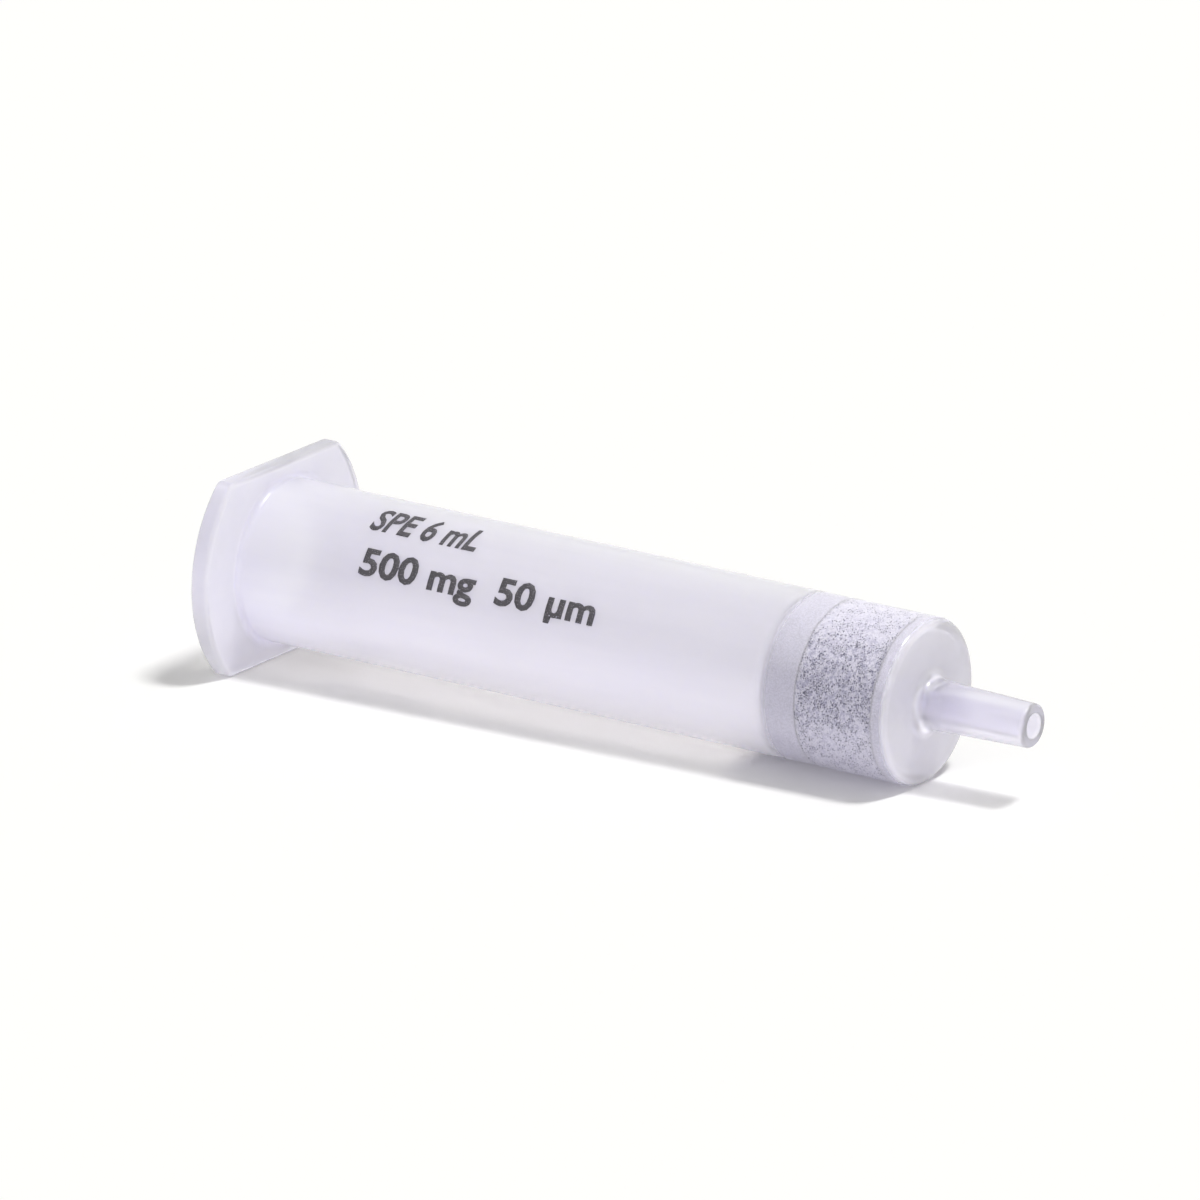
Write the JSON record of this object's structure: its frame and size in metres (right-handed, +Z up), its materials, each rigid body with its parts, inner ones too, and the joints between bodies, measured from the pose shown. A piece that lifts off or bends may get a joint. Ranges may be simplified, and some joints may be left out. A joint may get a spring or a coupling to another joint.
{
  "type": "solid phase extraction cartridge",
  "caption": "Syringe-style translucent polypropylene extraction cartridge with a flat-sided flange, a packed sorbent bed between white frits and a tapered outlet tip.",
  "frame": {"origin": "centre of the footprint of the cartridge's bounding box, on the surface it lies on", "axes": "+X towards the outlet tip, +Z up, +Y across the flange's long width; the barrel's own axis dips 1.33 degrees towards the tip, because it lies on its flange and its outlet end"},
  "size_m": [0.082, 0.0248, 0.0184],
  "materials": {
    "polypropylene": "natural translucent polypropylene, moulded, soft gloss, faint lavender tint",
    "frit": "porous sintered polyethylene, white, matte",
    "sorbent": "packed white powder mixed with fine black carbon grains",
    "ink": "dark grey pad-printed ink with a fine screen pattern"
  },
  "bodies": {
    "root": {"barrel": "polypropylene", "top_frit": "frit", "sorbent_bed": "sorbent", "bottom_frit": "frit"}
  },
  "joints": []
}
